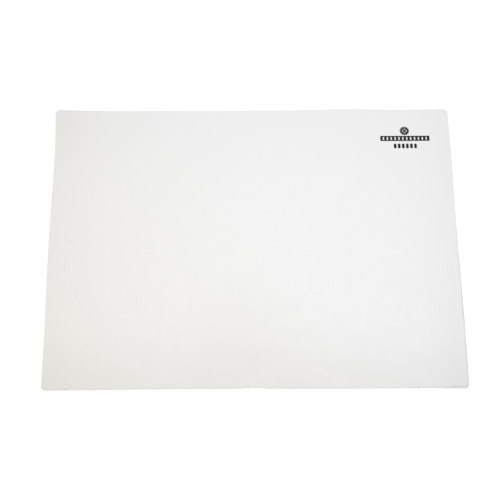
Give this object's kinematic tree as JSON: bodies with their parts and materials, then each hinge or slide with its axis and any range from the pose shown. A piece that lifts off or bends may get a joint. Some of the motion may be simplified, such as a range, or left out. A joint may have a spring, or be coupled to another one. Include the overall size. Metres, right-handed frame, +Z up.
{
  "type": "soft bench mat",
  "caption": "Thin soft mat with rounded corners that lies flat on a bench: a matt white work skin on a foam core and a grip film, with a small dark printed mark in one corner.",
  "frame": {"origin": "centre of the underside, on the bench", "axes": "+X along the long side to the worker's right, +Y away from the worker, +Z up out of the work face"},
  "size_m": [0.33, 0.24, 0.002],
  "materials": {
    "white_skin": "matte",
    "cream_foam": "matte",
    "grip_film": "matte",
    "print_ink": "matte"
  },
  "bodies": {
    "root": {"work_surface": "white_skin", "cushion_core": "cream_foam", "grip_base": "grip_film", "print_wheel": "print_ink", "print_track": "print_ink", "print_batons": "print_ink"}
  },
  "joints": []
}
